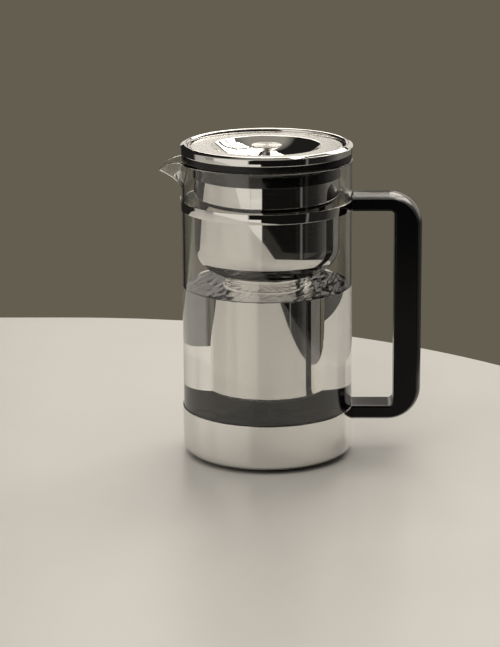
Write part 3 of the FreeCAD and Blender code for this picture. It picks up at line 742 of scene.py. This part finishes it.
low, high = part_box("bowl_collar")
collar_top = high.z
collar = turned("glossy_collar", rounded([
    (COLLAR_INSIDE, low.z, 0),
    (COLLAR_WAIST, low.z, COLLAR_EDGE),
    (COLLAR_WAIST, COLLAR_STEP, COLLAR_EDGE),
    (high.y, COLLAR_STEP, COLLAR_EDGE),
    (high.y, high.z, 0),
    (COLLAR_INSIDE, high.z, 0),
]))
fit(collar, "insert", "black_collar", gloss_black, "bowl_collar")

# %% [markdown]
# ## The gasket
# The gasket lies on the rim of the glass under the rolled steel, and a lip of it hangs into the jar. Soft
# rubber has no sharp corners, so each free corner gets a wide rounding. Corners that lie against another
# piece stay square.

# %% Gasket
GASKET_INSIDE = 63.9 * MM
GASKET_LEG = 65.8 * MM
GASKET_LIP = (66.0 * MM, 68.1 * MM)
GASKET_SEAT = 251.3 * MM
GASKET_EDGE = 0.8 * MM

low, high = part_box("rim_gasket")
gasket = turned("soft_gasket", rounded([
    (GASKET_INSIDE, GASKET_SEAT, 0),
    (GASKET_LIP[0], GASKET_SEAT, 0),
    (GASKET_LIP[0], low.z, GASKET_EDGE),
    (GASKET_LIP[1], low.z, GASKET_EDGE),
    (GASKET_LIP[1], GASKET_SEAT, 0),
    (high.y, GASKET_SEAT, GASKET_EDGE),
    (high.y, high.z, GASKET_EDGE),
    (GASKET_LEG, high.z, GASKET_EDGE),
    (GASKET_LEG, collar_top, 0),
    (GASKET_INSIDE, collar_top, 0),
]))
fit(gasket, "insert", "black_silicone", silicone, "rim_gasket")

# %% [markdown]
# ## The foot
# The jug stands on a flat silicone pad. Pads like it have ring grooves, so that they grip and don't stick
# to a wet table. A bump in the finish could shade the grooves, but then the mesh would be without them,
# so they are turned together with the pad.

# %% Grooved foot
FOOT_EDGE = 0.6 * MM
FOOT_GROOVES = (0.55, 0.72, 0.87)
GROOVE_HALF = 0.7 * MM
GROOVE_DEEP = 0.5 * MM

low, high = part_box("foot_pad")
outline = [(0, low.z, 0)]
for share in FOOT_GROOVES:
    start = high.y * share - GROOVE_HALF
    end = high.y * share + GROOVE_HALF
    outline += [
        (start, low.z, 0),
        (start, low.z + GROOVE_DEEP, 0),
        (end, low.z + GROOVE_DEEP, 0),
        (end, low.z, 0),
    ]
outline += [(high.y, low.z, FOOT_EDGE), (high.y, high.z, FOOT_EDGE), (0, high.z, 0)]
fit(turned("grooved_foot", rounded(outline)), "jug", "black_silicone", silicone, "foot_pad")

# %% [markdown]
# ## The cushion under the glass
# Glass isn't set on bare steel: a thin milky silicone seat lies between them. It shows only as a pale
# shade through the floor of the jar. Half of the light passes through it and half is scattered, which is
# what looks milky.

# %% Milky silicone
milky, tree, shader = new_finish("milky_silicone", **{"Transmission Weight": 0.5, "IOR": 1.41})
tint(noise_at(tree, 70), shader, (0.72, 0.73, 0.73), (0.8, 0.81, 0.81))
spread(noise_at(tree, 200), shader.inputs["Roughness"], 0.4, 0.55)
dress(milky, "base_cushion")

# %% [markdown]
# ## The cartridge's shell
# The cartridge hides in the housing until it is pulled out. Its shell and cap are matt white plastic. The
# CAD model already has their slots, so they need only a finish: nearly white, with a slightly uneven
# polish.

# %% Matt white plastic
white_plastic, tree, shader = new_finish("matt_white")
tint(noise_at(tree, 50), shader, (0.78, 0.78, 0.76), (0.84, 0.84, 0.82))
spread(noise_at(tree, 300), shader.inputs["Roughness"], 0.38, 0.5)
dress(white_plastic, "cartridge_shell", "cartridge_cap")

# %% [markdown]
# ## The woven meshes
# Fine woven discs keep the two filter beds in place and let the water through. Each thread could be
# modelled, but there are hundreds in one disc. A magic texture without distortion is a regular crossing
# pattern, and at this scale it gives a shade and a bump for each thread.

# %% Filter weave
weave, tree, shader = new_finish("filter_weave", Roughness=0.7)
place = node(tree, "TexCoord")
threads = node(tree, "TexMagic", Scale=2200, Distortion=0.0)
gap = node(tree, "RGBToBW")
join(place.outputs["Object"], threads.inputs["Vector"])
join(threads.outputs["Color"], gap.inputs["Color"])
tint(gap, shader, (0.6, 0.6, 0.58), (0.86, 0.86, 0.84))
bump(gap, shader, 0.15 * MM)
dress(weave, "outlet_mesh", "bed_divider", "inlet_mesh")

# %% [markdown]
# ## The two loose beds
# Below lie amber resin beads, and shell charcoal lies above them. Thousands of beads could be scattered
# as objects, but nobody sees more than their outside through the slots, so a cell pattern with its own
# shade and bump for each cell stands for them.

# %% Beads and granules


def granules(name, low, high, per_metre, height, roughness):
    """A bed of loose granules: each cell of the pattern is one granule with its own shade."""
    finish, tree, shader = new_finish(name, Roughness=roughness)
    place = node(tree, "TexCoord")
    cells = node(tree, "TexVoronoi", Scale=per_metre)
    shade = node(tree, "RGBToBW")
    join(place.outputs["Object"], cells.inputs["Vector"])
    join(cells.outputs["Color"], shade.inputs["Color"])
    tint(shade, shader, low, high)
    bump(cells, shader, height)
    return finish


amber = granules("amber_beads", (0.5, 0.3, 0.1), (0.78, 0.56, 0.27), 1300, -0.5 * MM, 0.25)
dress(amber, "resin_bed")
charcoal = granules("charcoal_granules", (0.012, 0.012, 0.012), (0.045, 0.044, 0.043), 900, 0.6 * MM, 0.6)
dress(charcoal, "carbon_bed")

# %% [markdown]
# ## The jar's beak
# The jar is blown glass: straight walls, a rounded heel, and a beak that was pulled out of the hot rim
# with a tool. A pulled beak begins without an edge. It could be sculpted by hand, but two short formulas
# hold its whole shape: how far it stands out of the round wall at each height and angle, and where the
# curved cut of its lip ends each part of the wall.

# %% The beak's shape
jar_low, jar_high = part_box("glass_jar")
JAR_RADIUS = jar_high.y
JAR_INSIDE = 68.5 * MM
BEAK_START = 224 * MM
BEAK_GROWTH = 0.06322 / MM
BEAK_NOSE = 1.2
BEAK_FADE = 5.0
BEAK_FADE_INSIDE = 4.4
BEAK_SINK = 0.25 * MM
LIP_RADIUS = 21.9 * MM
LIP_CENTRE = jar_high.z - LIP_RADIUS
LIP_TRIES = 40


def beak_reach(angle, height, fade):
    """How far the beak stands out of the round wall, at an angle in degrees from the spout."""
    if height <= BEAK_START:
        return 0.0
    fall = math.exp((BEAK_NOSE - math.hypot(angle, BEAK_NOSE)) / fade)
    return max(BEAK_GROWTH * (height - BEAK_START) ** 2 * fall - BEAK_SINK, 0.0)


def lip_height(angle, wall, fade):
    """The height at which one column of the wall meets the curved cut of the lip, found by halving."""
    low, high = BEAK_START, jar_high.z
    for _ in range(LIP_TRIES):
        middle = (low + high) / 2
        out = (wall + beak_reach(angle, middle, fade)) * math.cos(math.radians(angle)) - JAR_RADIUS
        cut = jar_high.z
        if out > 0:
            cut = LIP_CENTRE + math.sqrt(max(LIP_RADIUS ** 2 - out ** 2, 0))
        if middle < cut:
            low = middle
        else:
            high = middle
    return low


print("beak lip at", round(lip_height(0, JAR_RADIUS, BEAK_FADE) / MM, 1), "mm")

# %% [markdown]
# ## The jar's wall
# In the CAD model the jar's rim is cut square. A real rim is fire-polished, so it melts into a small
# round edge, and that edge is where clear glass catches the light. The wall is woven from columns like
# the screws. Each one runs up the outside, over the round lip at its own height, and down the inside.

# %% Columns of the jar's wall
JAR_FLOOR = 7.4 * MM
JAR_HEEL = 8.2 * MM
JAR_HEEL_INSIDE = 7.0 * MM
HEEL_STEPS = 12
ROUND_LIP_STEPS = 8
BEAK_LEVEL = 0.86
BEAK_LEVEL_STEPS = 28
LEVELS = [0.3, 0.6, 0.8, BEAK_LEVEL]
LEVELS += [BEAK_LEVEL + (1 - BEAK_LEVEL) * step / BEAK_LEVEL_STEPS for step in range(1, BEAK_LEVEL_STEPS)]


def wall_side(angle, wall, fade, start, top):
    """Points up one side of the wall, closer together where the beak grows."""
    heights = [start + (top - start) * level for level in LEVELS]
    return [(wall + beak_reach(angle, height, fade), height) for height in heights]


def round_lip(outer, inner, leaning, up, half):
    """A half circle from the outside of the wall over to its inside, which leans as the beak does."""
    points = []
    for step in range(ROUND_LIP_STEPS + 1):
        turn = math.pi * step / ROUND_LIP_STEPS
        side = (1 + math.cos(turn)) / 2
        over = half * math.sin(turn)
        radius = inner[0] + (outer[0] - inner[0]) * side + over * leaning * up
        points.append((radius, inner[1] + (outer[1] - inner[1]) * side + over * up))
    return points


def wall_column(angle):
    """One column of the jar's skin, from the middle of its underside over the rim to its floor."""
    top_out = lip_height(angle, JAR_RADIUS, BEAK_FADE)
    top_in = lip_height(angle, JAR_INSIDE, BEAK_FADE_INSIDE)
    leaning = 2 * beak_reach(angle, top_out, BEAK_FADE) / (top_out - BEAK_START)
    up = 1 / math.hypot(1, leaning)
    half = up * (JAR_RADIUS - JAR_INSIDE) / 2
    top_out -= half * up
    top_in -= half * up
    outer = (JAR_RADIUS + beak_reach(angle, top_out, BEAK_FADE), top_out)
    inner = (JAR_INSIDE + beak_reach(angle, top_in, BEAK_FADE_INSIDE), top_in)
    start_out = jar_low.z + JAR_HEEL
    start_in = JAR_FLOOR + JAR_HEEL_INSIDE
    underside = [(0, jar_low.z, 0), (JAR_RADIUS, jar_low.z, JAR_HEEL), (JAR_RADIUS, start_out, 0)]
    floor = [(JAR_INSIDE, start_in, 0), (JAR_INSIDE, JAR_FLOOR, JAR_HEEL_INSIDE), (0, JAR_FLOOR, 0)]
    skin = rounded(underside, HEEL_STEPS)[:-1]
    skin += wall_side(angle, JAR_RADIUS, BEAK_FADE, start_out, top_out)
    skin += round_lip(outer, inner, leaning, up, half)
    skin += reversed(wall_side(angle, JAR_INSIDE, BEAK_FADE_INSIDE, start_in, top_in))
    return skin + rounded(floor, HEEL_STEPS)[1:]


print("one column of the jar has", len(wall_column(0)), "points")

# %% [markdown]
# ## The jar in clear glass
# The columns stand close together at the beak, where the shape changes fast, and further apart round the
# plain wall. Glass needs hardly any colour, only transmission and its own bending of light, which is
# about 1.5. Blown walls are never quite even, so a very slow and very low bump bends what stands behind
# them a little.

# %% Glass jar
NEAR_BEAK = 25
NEAR_COLUMNS = 50
FAR_COLUMNS = 156

near = [NEAR_BEAK * step / NEAR_COLUMNS for step in range(-NEAR_COLUMNS, NEAR_COLUMNS + 1)]
far = [NEAR_BEAK + (360 - 2 * NEAR_BEAK) * step / FAR_COLUMNS for step in range(1, FAR_COLUMNS)]
angles = near + far
columns = [wall_column(angle if angle <= 180 else angle - 360) for angle in angles]
shape = bmesh.new()
woven(shape, [180 + angle for angle in angles], columns)
jar = new_piece("blown_jar", shape)

CLEAR = {"Transmission Weight": 1.0, "Roughness": 0.0}
glass, tree, shader = new_finish("blown_glass", IOR=1.5, **CLEAR)
tint(noise_at(tree, 6), shader, (0.975, 0.975, 0.968), (0.99, 0.99, 0.985))
bump(noise_at(tree, 14, detail=1), shader, 0.02 * MM)
fit(jar, "jug", "clear_glass", glass, "glass_jar")

# %% [markdown]
# ## The water's shape
# The jug is shown a little over half full. Water is a closed mesh of its own with its own bending of
# light. Two see-through meshes that share a face fight over it, so the water reaches a hair's breadth
# into the glass. At the wall and at the steel it climbs by about a millimetre, as water does on clean
# things. Its surface is turned in rings, and they lie close together wherever it climbs.

# %% Water shape
WATER_LEVEL = 144.8 * MM
WATER_IN_GLASS = 0.3 * MM
MENISCUS = 1.2 * MM
MENISCUS_REACH = 3.0 * MM
WALL_RINGS = 8
OPEN_RINGS = 32
STEEL_RINGS = 8
HIDDEN_RINGS = 10

water_radius = JAR_INSIDE + WATER_IN_GLASS
water_floor = JAR_FLOOR - WATER_IN_GLASS
housing_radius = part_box("filter_housing")[1].y


def climb(inward):
    """How far the water climbs, at a distance from the wall."""
    return MENISCUS * max(1 - abs(inward) / MENISCUS_REACH, 0) ** 3


at_wall = [water_radius - MENISCUS_REACH * step / WALL_RINGS for step in range(WALL_RINGS)]
open_width = at_wall[-1] - MM - housing_radius
in_open = [housing_radius + open_width * step / OPEN_RINGS for step in range(1, OPEN_RINGS + 1)]
ring_step = MENISCUS_REACH / (2 * STEEL_RINGS)
at_steel = [housing_radius + ring_step * step for step in range(1 - STEEL_RINGS, STEEL_RINGS)]
hidden = [(housing_radius - MENISCUS_REACH) * step / HIDDEN_RINGS for step in range(HIDDEN_RINGS + 1)]
rings = sorted(at_wall + in_open + at_steel + hidden, reverse=True)

bottom = [(0, water_floor, 0), (water_radius, water_floor, JAR_HEEL_INSIDE), (water_radius, WATER_LEVEL, 0)]
outline = rounded(bottom, HEEL_STEPS)[:-1]
for ring in rings:
    outline.append((ring, WATER_LEVEL + climb(water_radius - ring) + climb(ring - housing_radius)))
water = turned("filtered_water", outline)
print("water surface:", len(rings), "rings")

# %% [markdown]
# ## Ripples and clear water
# The surface is never flat after filling. A bump could shade ripples, but real ones also break up what is
# seen through the surface, and they stay in the mesh. Each point is lifted or lowered by a smooth noise
# that is drawn out one way, and the ripples die down towards the wall.

# %% Ripples and clear water
RIPPLE_HEIGHT = 0.8 * MM
RIPPLES_PER_METRE = (260, 70, 0)
RIPPLE_TURN = math.radians(12)

ripple = Matrix.Diagonal(RIPPLES_PER_METRE) @ Matrix.Rotation(RIPPLE_TURN, 3, "Z")
for corner in water.data.vertices:
    inward = water_radius - math.hypot(corner.co.x, corner.co.y)
    if corner.co.z > WATER_LEVEL - MM and inward > WATER_IN_GLASS:
        calm = min(inward / MENISCUS_REACH, 1)
        corner.co.z += RIPPLE_HEIGHT * calm * noise.noise(ripple @ corner.co)

clear_water, tree, shader = new_finish("clear_water", IOR=1.333, **CLEAR)
tint(noise_at(tree, 8), shader, (0.985, 0.985, 0.98), (0.995, 0.995, 0.99))
fit(water, "jug", "clear_glass", clear_water)

# %% [markdown]
# ## Finish
# The picture uses Blender's plain view transform, so a colour comes out as it was written.

# %% View
bpy.context.scene.view_settings.view_transform = "Standard"
